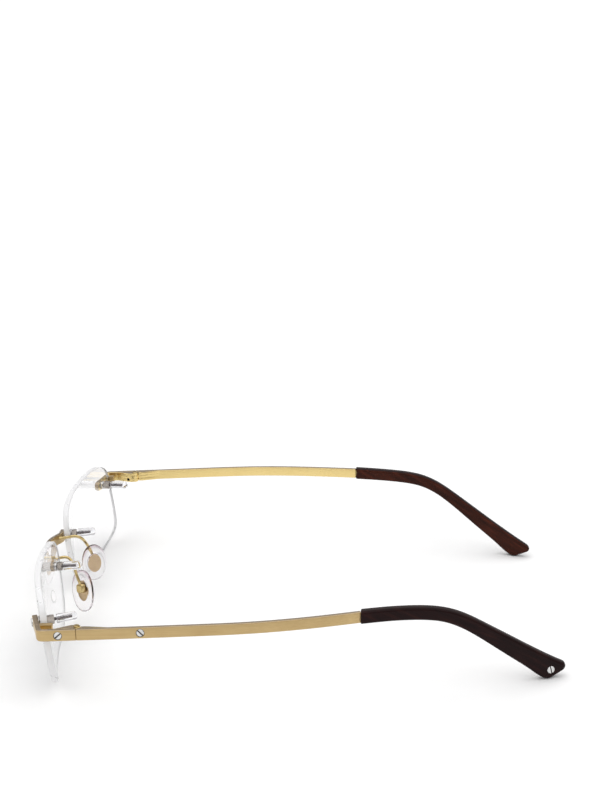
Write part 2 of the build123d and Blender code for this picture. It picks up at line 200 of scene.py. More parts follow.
def spline(points, count, closed=False):
    """Smooth curve through the points, at count places evenly spaced along it."""
    p = np.array(points, float)
    if closed:
        p = np.vstack([p, p[:1]])
    n = len(p)
    gap = np.linalg.norm(np.diff(p, axis=0), axis=1)
    slope = np.diff(p, axis=0) / gap[:, None]
    a = np.zeros((n, n))
    b = np.zeros_like(p)
    for i in range(1, n - 1):
        a[i, i - 1:i + 2] = gap[i], 2 * (gap[i - 1] + gap[i]), gap[i - 1]
        b[i] = 3 * (gap[i] * slope[i - 1] + gap[i - 1] * slope[i])
    if closed:
        a[0, 0], a[0, -1] = 1, -1
        a[-1, n - 2], a[-1, 0], a[-1, 1] = gap[0], 2 * (gap[-1] + gap[0]), gap[-1]
        b[-1] = 3 * (gap[0] * slope[-1] + gap[-1] * slope[0])
    else:
        a[0, :2] = 2, 1
        b[0] = 3 * slope[0]
        a[-1, -2:] = 1, 2
        b[-1] = 3 * slope[-1]
    m = np.linalg.solve(a, b)
    fine = []
    for i in range(n - 1):
        t = np.linspace(0, 1, 60, endpoint=False)[:, None]
        h = gap[i]
        fine.append((2 * t**3 - 3 * t**2 + 1) * p[i] + (t**3 - 2 * t**2 + t) * h * m[i]
                    + (3 * t**2 - 2 * t**3) * p[i + 1] + (t**3 - t**2) * h * m[i + 1])
    fine = np.vstack(fine + [p[-1:]])
    return even(fine, count, closed)


def run_lengths(points):
    """Distance of each point of a polyline from its start, along it."""
    return np.concatenate([[0], np.cumsum(np.linalg.norm(np.diff(points, axis=0), axis=1))])


def even(points, count, closed=False):
    """The polyline resampled at evenly spaced lengths."""
    points = np.array(points, float)
    length = run_lengths(points)
    at = np.linspace(0, length[-1], count + 1 if closed else count)
    if closed:
        at = at[:-1]
    return np.stack([np.interp(at, length, points[:, k]) for k in range(points.shape[1])], axis=1)


def frame_of(origin, x, z):
    """Origin and three unit axes as rows."""
    z = unit(z)
    x = unit(np.array(x, float) - np.dot(x, z) * z)
    return np.array(origin, float), np.array([x, np.cross(z, x), z])


def place(points, at):
    """Local points put into the layout frame."""
    origin, axes = at
    return np.array(points, float) @ axes + origin


def lens_frame(hole):
    x, z = hole
    y = LENS_CENTRE[1] - math.sqrt(LENS_RADIUS**2 - (x - LENS_CENTRE[0])**2 - (z - LENS_CENTRE[2])**2)
    point = np.array([x, y, z])
    return frame_of(point, (1, 0, 0), LENS_CENTRE - point)


END_FRAME = frame_of((0, 0, END_HEIGHT), (1, 0, 0), (0, -math.sin(END_SLOPE), math.cos(END_SLOPE)))
PLAN_FINE = spline(PLAN, 1200)
SIDE_FINE = spline(SIDE, 1200)


def axis_at(y):
    """Point on the temple's centre line, and its direction."""
    def point(v):
        return np.array([np.interp(v, PLAN_FINE[:, 1], PLAN_FINE[:, 0]), v,
                         np.interp(v, SIDE_FINE[:, 0], SIDE_FINE[:, 1])])
    return point(y), unit(point(y + 0.4) - point(y - 0.4))


def outwards(direction):
    return unit((direction[1], -direction[0], 0))


# ---------------------------------------------------------------- mesh making
class Shape:
    """Vertices in millimetres and faces, each face with a material number."""

    def __init__(self):
        self.points = []
        self.faces = []
        self.marks = []

    def add(self, points, faces, mark=0):
        start = len(self.points)
        self.points.extend(np.array(points, float).tolist())
        marks = mark if isinstance(mark, list) else [mark] * len(faces)
        for face, m in zip(faces, marks):
            self.faces.append([start + i for i in face])
            self.marks.append(m)
        return self


def loft(shape, rings, mark=0, caps=True, wrap=False, cap_mark=None):
    """Skin of quads over rings that all have the same number of points.

    mark is one material number, or a list with one for each strip of quads.
    """
    rings = [np.array(r, float) for r in rings]
    count, n = len(rings), len(rings[0])
    strips = mark if isinstance(mark, list) else [mark] * n
    faces, marks = [], []
    for k in range(count if wrap else count - 1):
        a, b = k * n, ((k + 1) % count) * n
        for i in range(n):
            j = (i + 1) % n
            faces.append([a + i, a + j, b + j, b + i])
            marks.append(strips[i])
    if caps and not wrap:
        faces.append(list(range(n))[::-1])
        faces.append([(count - 1) * n + i for i in range(n)])
        marks += [strips[0] if cap_mark is None else cap_mark] * 2
    return shape.add(np.vstack(rings), faces, marks)


def section(width, height, corner, steps=SECTION_STEPS):
    """Rounded rectangle, width along the first axis, going anticlockwise."""
    w, h = width / 2 - corner, height / 2 - corner
    points = []
    for cx, cy, start in ((w, -h, -90), (w, h, 0), (-w, h, 90), (-w, -h, 180)):
        for k in range(steps + 1):
            a = math.radians(start + 90 * k / steps)
            points.append((cx + corner * math.cos(a), cy + corner * math.sin(a)))
    return np.array(points)


def section_marks(steps, outer, top, inner, bottom):
    """Material of each strip of quads round a section: outer face, top, inner face, bottom."""
    half = steps // 2
    marks = []
    for before, after in ((bottom, outer), (outer, top), (top, inner), (inner, bottom)):
        marks += [before] * half + [after] * (steps - half + 1)
    return marks


def turned(shape, profile, at, segments=40, mark=0, closed=False):
    """Surface of revolution about the frame's Z from (radius, height) pairs."""
    rings = []
    for radius, height in profile:
        ring = [(max(radius, 1e-4) * math.cos(2 * math.pi * k / segments),
                 max(radius, 1e-4) * math.sin(2 * math.pi * k / segments), height) for k in range(segments)]
        rings.append(place(ring, at))
    return loft(shape, rings, mark, caps=False, wrap=closed)


def inset(outline, amount):
    """Closed outline drawn in by an amount, for bevels on its top and bottom."""
    p = np.array(outline, float)
    before = np.roll(p, 1, axis=0)
    after = np.roll(p, -1, axis=0)
    e1 = p - before
    e2 = after - p
    n1 = np.stack([-e1[:, 1], e1[:, 0]], axis=1) / np.linalg.norm(e1, axis=1)[:, None]
    n2 = np.stack([-e2[:, 1], e2[:, 0]], axis=1) / np.linalg.norm(e2, axis=1)[:, None]
    n = n1 + n2
    n /= np.maximum((n * n).sum(axis=1), 0.3)[:, None] / 2
    return p + n * amount


def prism(shape, outline, low, high, at, bevel=0.1, mark=0, cap_mark=None):
    """Extruded anticlockwise outline with small bevels at both ends."""
    o = np.array(outline, float)
    small = inset(o, bevel)
    rings = []
    for pts, z in ((small, low), (o, low + bevel), (o, high - bevel), (small, high)):
        rings.append(place(np.column_stack([pts, np.full(len(pts), z)]), at))
    return loft(shape, rings, mark, cap_mark=cap_mark)


def arc(centre, radius, start, end, steps=14):
    """Points on an arc, angles in degrees."""
    out = []
    for k in range(steps + 1):
        a = math.radians(start + (end - start) * k / steps)
        out.append((centre[0] + radius * math.cos(a), centre[1] + radius * math.sin(a)))
    return out


def new_mesh(name, shape, mirror, dissolve):
    """Welded mesh of a shape in the row's metres, mirrored for the right-hand side, faces outwards."""
    points = np.array(shape.points, float)
    faces = shape.faces
    if mirror:
        points = points * np.array([-1.0, 1.0, 1.0])
        faces = [f[::-1] for f in faces]
    mesh = bpy.data.meshes.new(name)
    mesh.from_pydata(((points - ROW_ORIGIN) * MM).tolist(), [], faces)
    bm = bmesh.new()
    bm.from_mesh(mesh)
    bmesh.ops.remove_doubles(bm, verts=bm.verts, dist=WELD)
    if dissolve:
        bmesh.ops.dissolve_degenerate(bm, edges=bm.edges, dist=DEGENERATE)
    bmesh.ops.recalc_face_normals(bm, faces=bm.faces)
    bm.to_mesh(mesh)
    bm.free()
    return mesh


def build(name, shape, body, nodes, materials, mirror=False, sharp=SHARP):
    """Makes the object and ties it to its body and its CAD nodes."""
    mesh = new_mesh(name, shape, mirror, dissolve=True)
    if len(mesh.polygons) == len(shape.marks):
        mesh.polygons.foreach_set("material_index", np.array(shape.marks, np.int32))
    for material in materials:
        mesh.materials.append(material)
    mesh.polygons.foreach_set("use_smooth", [True] * len(mesh.polygons))
    mesh.set_sharp_from_angle(angle=math.radians(sharp))
    mesh.update()
    obj = bpy.data.objects.new(name, mesh)
    bpy.context.scene.collection.objects.link(obj)
    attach(obj, body)
    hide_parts(*nodes)
    return obj


# ---------------------------------------------------------------- materials
NOISE_RANGE = (0.3, 0.7)
METAL_GRAIN = (900.0, 14.0, 900.0)
METAL_CLOUD = 700.0
GRAIN_SHARE = 0.65
ACETATE_SHINE = 0.10


def new_material(name):
    material = bpy.data.materials.new(name)
    material.use_nodes = True
    tree = material.node_tree
    return material, tree, tree.nodes["Principled BSDF"]


def link(tree, a, b):
    tree.links.new(a, b)


def coordinates(tree, scale, tilt=0.0):
    """Object coordinates, which follow a piece when its body moves, tilted about X and scaled."""
    where = tree.nodes.new("ShaderNodeTexCoord")
    tilted = tree.nodes.new("ShaderNodeMapping")
    tilted.inputs["Rotation"].default_value = (tilt, 0, 0)
    link(tree, where.outputs["Object"], tilted.inputs["Vector"])
    mapping = tree.nodes.new("ShaderNodeMapping")
    mapping.inputs["Scale"].default_value = scale
    link(tree, tilted.outputs["Vector"], mapping.inputs["Vector"])
    return mapping.outputs["Vector"]


def noise(tree, vector, scale, detail, rough):
    node = tree.nodes.new("ShaderNodeTexNoise")
    node.inputs["Scale"].default_value = scale
    node.inputs["Detail"].default_value = detail
    node.inputs["Roughness"].default_value = rough
    link(tree, vector, node.inputs["Vector"])
    return node.outputs["Fac"]


def ramp(tree, value, stops):
    node = tree.nodes.new("ShaderNodeValToRGB")
    elements = node.color_ramp.elements
    while len(elements) > len(stops):
        elements.remove(elements[-1])
    while len(elements) < len(stops):
        elements.new(0.5)
    for element, (position, colour) in zip(elements, stops):
        element.position = position
        element.color = (*colour, 1.0)
    link(tree, value, node.inputs["Fac"])
    return node.outputs["Color"]


def spread(tree, value, low, high):
    """The usual range of a noise, stretched to go from low to high."""
    node = tree.nodes.new("ShaderNodeMapRange")
    node.inputs["From Min"].default_value = NOISE_RANGE[0]
    node.inputs["From Max"].default_value = NOISE_RANGE[1]
    node.inputs["To Min"].default_value = low
    node.inputs["To Max"].default_value = high
    link(tree, value, node.inputs["Value"])
    return node.outputs["Result"]


def bump(tree, value, strength, distance, bsdf):
    node = tree.nodes.new("ShaderNodeBump")
    node.inputs["Strength"].default_value = strength
    node.inputs["Distance"].default_value = distance
    link(tree, value, node.inputs["Height"])
    link(tree, node.outputs["Normal"], bsdf.inputs["Normal"])


def brushed_metal(name, dark, light, rough, strength=0.25):
    """Plated metal with fine marks running along Y."""
    material, tree, bsdf = new_material(name)
    grainy = noise(tree, coordinates(tree, METAL_GRAIN), 4.0, 6.0, 0.6)
    cloud = noise(tree, coordinates(tree, (1, 1, 1)), 160.0, 3.0, 0.5)
    mix = tree.nodes.new("ShaderNodeMath")
    mix.operation = "MULTIPLY_ADD"
    mix.inputs[1].default_value = GRAIN_SHARE
    link(tree, grainy, mix.inputs[0])
    share = tree.nodes.new("ShaderNodeMath")
    share.operation = "MULTIPLY"
    share.inputs[1].default_value = 1 - GRAIN_SHARE
    link(tree, cloud, share.inputs[0])
    link(tree, share.outputs[0], mix.inputs[2])
    link(tree, ramp(tree, mix.outputs[0], [(0.3, dark), (0.7, light)]), bsdf.inputs["Base Color"])
    link(tree, spread(tree, grainy, rough - 0.06, rough + 0.08), bsdf.inputs["Roughness"])
    bsdf.inputs["Metallic"].default_value = 1.0
    bump(tree, grainy, strength, 0.00002, bsdf)
    return material


def bright_metal(name, dark, light, rough):
    """Polished or turned metal with faint wear."""
    material, tree, bsdf = new_material(name)
    cloud = noise(tree, coordinates(tree, (1, 1, 1)), METAL_CLOUD, 5.0, 0.6)
    link(tree, ramp(tree, cloud, [(0.3, dark), (0.7, light)]), bsdf.inputs["Base Color"])
    link(tree, spread(tree, cloud, rough * 0.8, rough * 1.3), bsdf.inputs["Roughness"])
    bsdf.inputs["Metallic"].default_value = 1.0
    bump(tree, cloud, 0.08, 0.00001, bsdf)
    return material


def clear_plastic(name, dark, light, rough, ior=1.5, weight=1.0):
    """Clear moulded plastic that bends light, with a very faint tint."""
    material, tree, bsdf = new_material(name)
    cloud = noise(tree, coordinates(tree, (1, 1, 1)), 300.0, 3.0, 0.5)
    link(tree, ramp(tree, cloud, [(0.3, dark), (0.7, light)]), bsdf.inputs["Base Color"])
    link(tree, spread(tree, cloud, rough * 0.5, rough * 1.5), bsdf.inputs["Roughness"])
    bsdf.inputs["Transmission Weight"].default_value = weight
    bsdf.inputs["IOR"].default_value = ior
    return material


def acetate(name, dark, middle, light):
    """Dark brown moulded plastic with soft reddish streaks and a polish."""
    material, tree, bsdf = new_material(name)
    streak = noise(tree, coordinates(tree, (200.0, 18.0, 420.0), math.radians(31)), 2.2, 5.0, 0.6)
    link(tree, ramp(tree, streak, [(0.25, dark), (0.55, middle), (0.8, light)]), bsdf.inputs["Base Color"])
    fine = noise(tree, coordinates(tree, (1, 1, 1)), 900.0, 4.0, 0.6)
    link(tree, spread(tree, fine, 0.17, 0.27), bsdf.inputs["Roughness"])
    bsdf.inputs["IOR"].default_value = 1.5
    bsdf.inputs["Specular IOR Level"].default_value = ACETATE_SHINE
    bump(tree, fine, 0.05, 0.00002, bsdf)
    return material


satin_gold = brushed_metal("satin_gold", (0.44, 0.31, 0.145), (0.58, 0.43, 0.215), 0.36)
# Painted shade: a darker, greyer copy of the same satin plating, put on the strips' upper and lower edges.
edge_gold_painted_shade = brushed_metal("edge_gold_painted_shade", (0.33, 0.255, 0.165), (0.42, 0.33, 0.22), 0.22, strength=0.1)
# Painted light: a brighter, yellower copy of the same plating, put on the strips' inner faces.
inner_gold_painted_light = brushed_metal("inner_gold_painted_light", (0.76, 0.58, 0.24), (0.84, 0.66, 0.30), 0.3, strength=0.05)
polished_gold = bright_metal("polished_gold", (0.46, 0.345, 0.15), (0.66, 0.52, 0.26), 0.17)
plate_gold = bright_metal("plate_gold", (0.52, 0.38, 0.22), (0.66, 0.50, 0.31), 0.38)
silver = bright_metal("silver", (0.58, 0.58, 0.57), (0.74, 0.74, 0.73), 0.24)
nut_steel = bright_metal("nut_steel", (0.28, 0.25, 0.225), (0.46, 0.42, 0.38), 0.28)
thread_steel = bright_metal("thread_steel", (0.15, 0.135, 0.135), (0.30, 0.27, 0.27), 0.30)
# Painted shade: near-black metal on pocket floors, the blind hole and screw slot floors, standing for the
# shade in those gaps.
slot_painted_shade = bright_metal("slot_painted_shade", (0.05, 0.045, 0.04), (0.11, 0.10, 0.09), 0.4)
lens_face = clear_plastic("lens_face", (0.975, 0.975, 0.985), (0.99, 0.99, 0.995), 0.0)
lens_edge = clear_plastic("lens_edge", (0.975, 0.975, 0.985), (0.99, 0.99, 0.995), 0.4,
                          weight=0.3)
cap_clear = clear_plastic("cap_clear", (0.93, 0.93, 0.955), (0.97, 0.97, 0.985), 0.04, 1.47)
brown_tip = acetate("brown_tip", (0.006, 0.002, 0.002), (0.013, 0.004, 0.004), (0.028, 0.008, 0.006))
# Painted light: a lighter, redder copy of the same tip acetate, put on the tips' inner faces.
brown_inner_painted_light = acetate("brown_inner_painted_light", (0.016, 0.004, 0.002), (0.042, 0.009, 0.004), (0.090, 0.019, 0.009))


def pad_material():
    """Clear soft plastic with a thin purple-brown rim of painted shade, drawn by the attribute rim that each
    point carries.
    """
    material, tree, bsdf = new_material("pad_clear")
    where = tree.nodes.new("ShaderNodeAttribute")
    where.attribute_name = "rim"
    cloud = noise(tree, coordinates(tree, (1, 1, 1)), 400.0, 3.0, 0.5)
    add = tree.nodes.new("ShaderNodeMath")
    add.operation = "MULTIPLY_ADD"
    add.inputs[1].default_value = 0.06
    link(tree, cloud, add.inputs[0])
    link(tree, where.outputs["Fac"], add.inputs[2])
    # Painted shade: the ramp's last stop turns the rim a dark purple-brown.
    colour = ramp(tree, add.outputs[0], [(0.0, (0.99, 0.985, 0.99)), (0.90, (0.98, 0.965, 0.975)),
                                        (1.0, (0.55, 0.42, 0.47))])
    link(tree, colour, bsdf.inputs["Base Color"])
    link(tree, spread(tree, cloud, 0.03, 0.09), bsdf.inputs["Roughness"])
    bsdf.inputs["Transmission Weight"].default_value = 1.0
    bsdf.inputs["IOR"].default_value = 1.35
    return material


pad_clear = pad_material()


# ---------------------------------------------------------------- lenses
def lens_surface(outline, depth):
    """Points of an outline put on the front surface, or a depth behind it."""
    radius = LENS_RADIUS - depth
    out = []
    for x, z in outline:
        y = LENS_CENTRE[1] - math.sqrt(radius**2 - (x - LENS_CENTRE[0])**2 - (z - LENS_CENTRE[2])**2)
        out.append((x, y, z))
    return np.array(out)


def carve(obj, side, cutters, sharp, overlapping=True):
    """Takes closed shapes, drawn on the wearer's left, out of an object."""
    items = []
    for cutter in cutters:
        mesh = new_mesh("cutter", cutter, side < 0, dissolve=False)
        mesh.polygons.foreach_set("material_index", [cutter.marks[0]] * len(mesh.polygons))
        item = bpy.data.objects.new("cutter", mesh)
        bpy.context.scene.collection.objects.link(item)
        modifier = obj.modifiers.new("hole", "BOOLEAN")
        modifier.operation = "DIFFERENCE"
        modifier.solver = "EXACT"
        modifier.use_self = overlapping
        modifier.object = item
        items.append(item)
    depsgraph = bpy.context.evaluated_depsgraph_get()
    mesh = bpy.data.meshes.new_from_object(obj.evaluated_get(depsgraph))
    obj.modifiers.clear()
    obj.data = mesh
    for item in items:
        bpy.data.objects.remove(item)
    mesh.set_sharp_from_angle(angle=math.radians(sharp))


def lens_cutters():
    """The two holes for the sleeves, and the notch for the lug."""
    cutters = []
    through = [(0, -2), (LENS_HOLE_RADIUS, -2), (LENS_HOLE_RADIUS, 5), (0, 5)]
    for hole in (NASAL_HOLE, TEMPORAL_HOLE):
        cutters.append(turned(Shape(), through, lens_frame(hole), 36))
    inner, half = LUG_INNER - LUG_GAP, LUG_HEIGHT / 2 + LUG_GAP
    block = [(inner, -4), (inner + 6, -4), (inner + 6, 4), (inner, 4)]
    level = frame_of((0, 0, END_HEIGHT), (1, 0, 0), (0, 0, 1))
    cutters.append(prism(Shape(), block, -half, half, level, 0.001))
    return cutters


def side_frame(y):
    """Frame on the outer side face at a distance back, its Z pointing out."""
    origin = place([(SIDE_FACE, y, 0)], END_FRAME)[0]
    return frame_of(origin, END_FRAME[1][1], (1, 0, 0))


def side_pocket(y):
    profile = [(0, -SIDE_POCKET_DEPTH), (SIDE_POCKET_RADIUS, -SIDE_POCKET_DEPTH),
               (SIDE_POCKET_RADIUS, 1), (0, 1)]
    return turned(Shape(), profile, side_frame(y), 40, POCKET)


def make_lens(side_name, side):
    rim = spline(LENS_OUTLINE, 168, closed=True)
    area = 0.5 * np.sum(rim[:, 0] * np.roll(rim[:, 1], -1) - np.roll(rim[:, 0], -1) * rim[:, 1])
    if area < 0:
        rim = rim[::-1]
    middle = rim.mean(axis=0)
    bevelled = inset(rim, LENS_BEVEL_DRAW)
    steps = [1.0, 0.985, 0.96, 0.9, 0.8, 0.68, 0.54, 0.4, 0.26, 0.12]
    shape = Shape()
    front = [lens_surface(middle + (bevelled - middle) * s, 0.0) for s in steps]
    back = [lens_surface(middle + (bevelled - middle) * s, LENS_THICKNESS) for s in steps]
    loft(shape, front[::-1], 0, caps=False)
    loft(shape, back, 0, caps=False)
    for ring, depth in ((front[-1], 0.0), (back[-1], LENS_THICKNESS)):
        centre = lens_surface([middle], depth)
        n = len(ring)
        shape.add(np.vstack([ring, centre]), [[i, (i + 1) % n, n] for i in range(n)], 0)
    edge = [lens_surface(rim, depth) for depth in (LENS_BEVEL, LENS_THICKNESS - LENS_BEVEL)]
    loft(shape, [front[0], *edge, back[0]], 1, caps=False)
    sharp = 28
    obj = build(f"lens_glass_{side_name}", shape, "front", [f"lens_{side_name}"],
                [lens_face, lens_edge], side < 0, sharp)
    carve(obj, side, lens_cutters(), sharp, overlapping=False)


# ---------------------------------------------------------------- metal strips
# Material numbers of a strip: 0 its outer face, 1 its edges with painted shade, 2 its inner face with painted
# light, 3 the floor of a pocket with painted shade.
POCKET = 3
STRIP_MARKS = section_marks(SECTION_STEPS, 0, 1, 2, 1)
NEAR_END = [0, 0.004, 0.02, 0.05, 0.1, 0.12, 0.2, 0.32, 0.48, 0.68, 0.95, 1.25, 1.56]


def strip_rings(path, thickness, round_ends):
    """Rings of a flat strip on edge along a plan path, each end rounded off in height or bevelled."""
    length = run_lengths(path)
    up = np.array([0.0, 0.0, 1.0])
    rings = []
    for k, point in enumerate(path):
        before, after = path[max(k - 1, 0)], path[min(k + 1, len(path) - 1)]
        along = unit(after - before)
        side = unit(np.cross(along, up))
        high, thick = STRIP_HEIGHT, thickness
        for radius, reach in ((round_ends[0], length[k]), (round_ends[1], length[-1] - length[k])):
            if radius and reach < radius:
                half = math.sqrt(max(radius**2 - (radius - reach)**2, 0.0025))
                high = min(high, STRIP_HEIGHT - 2 * radius + 2 * half)
            if not radius and reach < END_BEVEL:
                high = min(high, STRIP_HEIGHT - 2 * (END_BEVEL - reach))
                thick = min(thick, thickness - 2 * (END_BEVEL - reach))
        ring = section(thick, high, min(STRIP_CORNER, high / 2.2))
        rings.append(point + ring[:, :1] * side + ring[:, 1:] * up)
    return rings


def dense(path, step):
    """Path with extra stations close to its ends, where the strip rounds off."""
    length = run_lengths(path)
    total = length[-1]
    between = list(np.arange(1.8, total - 1.7, step))
    at = sorted(set(NEAR_END + [total - v for v in NEAR_END] + between))
    return np.stack([np.interp(at, length, path[:, k]) for k in range(path.shape[1])], axis=1)


def make_bridge():
    origin, axes = lens_frame(NASAL_HOLE)
    through = axes[2]
    tilt = math.atan2(through[2], through[1])
    at = frame_of((0, origin[1], origin[2]), (1, 0, 0), (0, -math.sin(tilt), math.cos(tilt)))
    slope = -through[0] / math.sqrt(1 - through[0]**2)
    middle = -(FLANGE + BRIDGE_THICKNESS / 2)
    half = BRIDGE_PLAN + [(x, middle + slope * (x - NASAL_HOLE[0])) for x in BRIDGE_FOOT]
    points = [(-x, y) for x, y in half[::-1][:-1]] + half
    path = spline(points, 400)
    lift = np.interp(np.abs(path[:, 0]), *BRIDGE_LIFT)
    path = dense(np.column_stack([path, lift]), step=0.45)
    rings = strip_rings(path, BRIDGE_THICKNESS, (BRIDGE_END_ROUND, BRIDGE_END_ROUND))
    shape = Shape()
    loft(shape, [place(r, at) for r in rings], STRIP_MARKS)
    # The edges take the darker copy of the plating with painted shade.
    build("bridge_strip", shape, "front", ["bridge"], [satin_gold, edge_gold_painted_shade, satin_gold])


def end_path():
    origin, axes = lens_frame(TEMPORAL_HOLE)
    through = axes[2]
    on_leg = origin - through * (FLANGE + END_THICKNESS / 2)
    slope = -through[0] / through[1]
    leg_x = SIDE_FACE - END_THICKNESS / 2
    start = np.array([END_START, on_leg[1] + slope * (END_START - on_leg[0])])
    corner = np.array([leg_x, on_leg[1] + slope * (leg_x - on_leg[0])])
    end = np.array([leg_x, HINGE[1] + 0.05])
    d1, d2 = unit(start - corner), unit(end - corner)
    half = math.acos(np.dot(d1, d2)) / 2
    reach = END_BEND / math.tan(half)
    centre = corner + unit(d1 + d2) * END_BEND / math.sin(half)
    a, b = corner + d1 * reach, corner + d2 * reach
    a0 = math.atan2(*(a - centre)[::-1])
    a1 = math.atan2(*(b - centre)[::-1])
    if a1 < a0:
        a1 += 2 * math.pi
    bend = [centre + END_BEND * np.array([math.cos(t), math.sin(t)]) for t in np.linspace(a0, a1, 24)]
    path = np.vstack([start, bend, end])
    return dense(np.column_stack([path, np.zeros(len(path))]), step=0.4)


def side_hole():
    """Small blind hole in the swelling in front of the hinge, on the wearer's side, lined with painted shade.
    """
    y, z = SIDE_HOLE
    bottom = place([(SIDE_HOLE_BOTTOM, y, z)], END_FRAME)[0]
    inwards = frame_of(bottom, END_FRAME[1][1], (-1, 0, 0))
    profile = [(0, 0), (SIDE_HOLE_RADIUS, 0), (SIDE_HOLE_RADIUS, 4), (0, 4)]
    return turned(Shape(), profile, inwards, 32, POCKET)


def make_end_piece(side_name, side):
    shape = Shape()
    rings = strip_rings(end_path(), END_THICKNESS, (END_ROUND, 0))
    loft(shape, [place(r, END_FRAME) for r in rings], STRIP_MARKS)
    inside = SIDE_FACE - END_THICKNESS + 0.1
    x, y = HINGE
    front, back = (inside, ARM_FRONT), (x - KNUCKLE, ARM_BACK)
    arm = [front, (inside, y)] + arc(HINGE, KNUCKLE, 0, 180) + [back]
    web_reach = math.degrees(math.acos(KNUCKLE / KNUCKLE_CLEAR))
    hollow = arc(HINGE, KNUCKLE_CLEAR, -24, -180 + web_reach)
    web = [front, (inside, y - 0.55)] + hollow + [back]
    for low, high in ((-FORK_HALF, -FORK_GAP), (FORK_GAP, FORK_HALF)):
        prism(shape, arm, low, high, END_FRAME, 0.08, 2, 1)
    prism(shape, web, -0.6, 0.6, END_FRAME, 0.001, 2, 1)
    # Second material: painted shade on the edges; third: painted light on the inner faces; fourth: painted
    # shade in the pocket and the blind hole.
    obj = build(f"end_strip_{side_name}", shape, "front", [f"end_piece_{side_name}"],
                [satin_gold, edge_gold_painted_shade, inner_gold_painted_light, slot_painted_shade], side < 0)
    carve(obj, side, [side_pocket(END_SCREW_Y), side_hole()], SHARP)


def make_temple(side_name, side):
    shape = Shape()
    start, end = HINGE[1] + 0.1, COVER_START
    stations = [start + v for v in (0, 0.02, 0.05, 0.1, 0.2, 0.6)]
    stations += list(np.arange(start + 1.5, end - 0.8, 1.2)) + [end - v for v in (0.2, 0.1, 0.05, 0)]
    rings = []
    for y in stations:
        point, along = axis_at(y)
        out = outwards(along)
        up = np.cross(out, along)
        edge = max(TEMPLE_BEVEL - (y - start), TEMPLE_BEVEL - (end - y), 0)
        ring = section(TEMPLE_THICKNESS - 2 * edge, STRIP_HEIGHT - 2 * edge, TEMPLE_CORNER)
        rings.append(point + ring[:, :1] * out + ring[:, 1:] * up)
    loft(shape, rings, STRIP_MARKS)
    inside = SIDE_FACE - TEMPLE_THICKNESS + 0.1
    x, y = HINGE
    low_x = x + 0.1
    swell = [(inside, start), (inside, start + SWELL_LENGTH), (low_x, start + SWELL_SHOULDER)]
    outer = swell + arc(HINGE, KNUCKLE_CLEAR, 85.6, 4.4)
    tongue = swell + arc(HINGE, KNUCKLE, 85, 355, 24)
    for low, high, outline in ((-FORK_HALF, -TONGUE_HALF, outer), (TONGUE_HALF, FORK_HALF, outer),
                               (-TONGUE_HALF, TONGUE_HALF, tongue)):
        prism(shape, outline, low, high, END_FRAME, 0.06, 2, 1)
    # The core that runs on inside the tip.
    core = []
    for y in np.linspace(COVER_START - 0.1, CORE_END, 46):
        point, along = axis_at(y)
        out = outwards(along)
        ring = section(*CORE_SIZE, 0.15)
        core.append(point + ring[:, :1] * out + ring[:, 1:] * np.cross(out, along))
    loft(shape, core, 2)
    # Second material: painted shade on the edges; third: painted light on the inner faces; fourth: painted
    # shade in the screw's pocket.
    obj = build(f"temple_strip_{side_name}", shape, f"temple_{side_name}", [f"temple_{side_name}"],
                [satin_gold, edge_gold_painted_shade, inner_gold_painted_light, slot_painted_shade], side < 0)
    carve(obj, side, [side_pocket(TEMPLE_SCREW_Y)], SHARP)


def rounded_corner(before, corner, after, radius, steps=16):
    """Arc that takes the place of a corner between two straight runs."""
    corner = np.array(corner, float)
    d1, d2 = unit(np.array(before) - corner), unit(np.array(after) - corner)
    half = math.acos(np.dot(d1, d2)) / 2
    centre = corner + unit(d1 + d2) * radius / math.sin(half)
    a, b = corner + d1 * radius / math.tan(half), corner + d2 * radius / math.tan(half)
    a0 = math.atan2(*(a - centre)[::-1])
    turn = (math.atan2(*(b - centre)[::-1]) - a0 + math.pi) % (2 * math.pi) - math.pi
    return [centre + radius * np.array([math.cos(a0 + turn * t), math.sin(a0 + turn * t)])
            for t in np.linspace(0, 1, steps)]


def tip_edges():
    """Upper and lower edge of the tip in the side view, both running back to its hindmost point."""
    top = spline(TIP_TOP, 500)
    bottom = spline(TIP_BOTTOM, 500)[::-1]
    end = rounded_corner(top[-20], TIP_TOP[-1], TIP_BOTTOM[0], TIP_END_ROUND)
    heel = rounded_corner(TIP_TOP[-1], TIP_BOTTOM[0], bottom[-12], TIP_HEEL_ROUND)
    last = int(np.argmax([p[0] for p in end]))
    upper = [p for p in top if p[0] < end[0][0]] + end[:last + 1]
    lower = [p for p in bottom if p[0] < heel[-1][0]] + heel[::-1] + end[last:][::-1]
    return np.array(upper), np.array(lower)


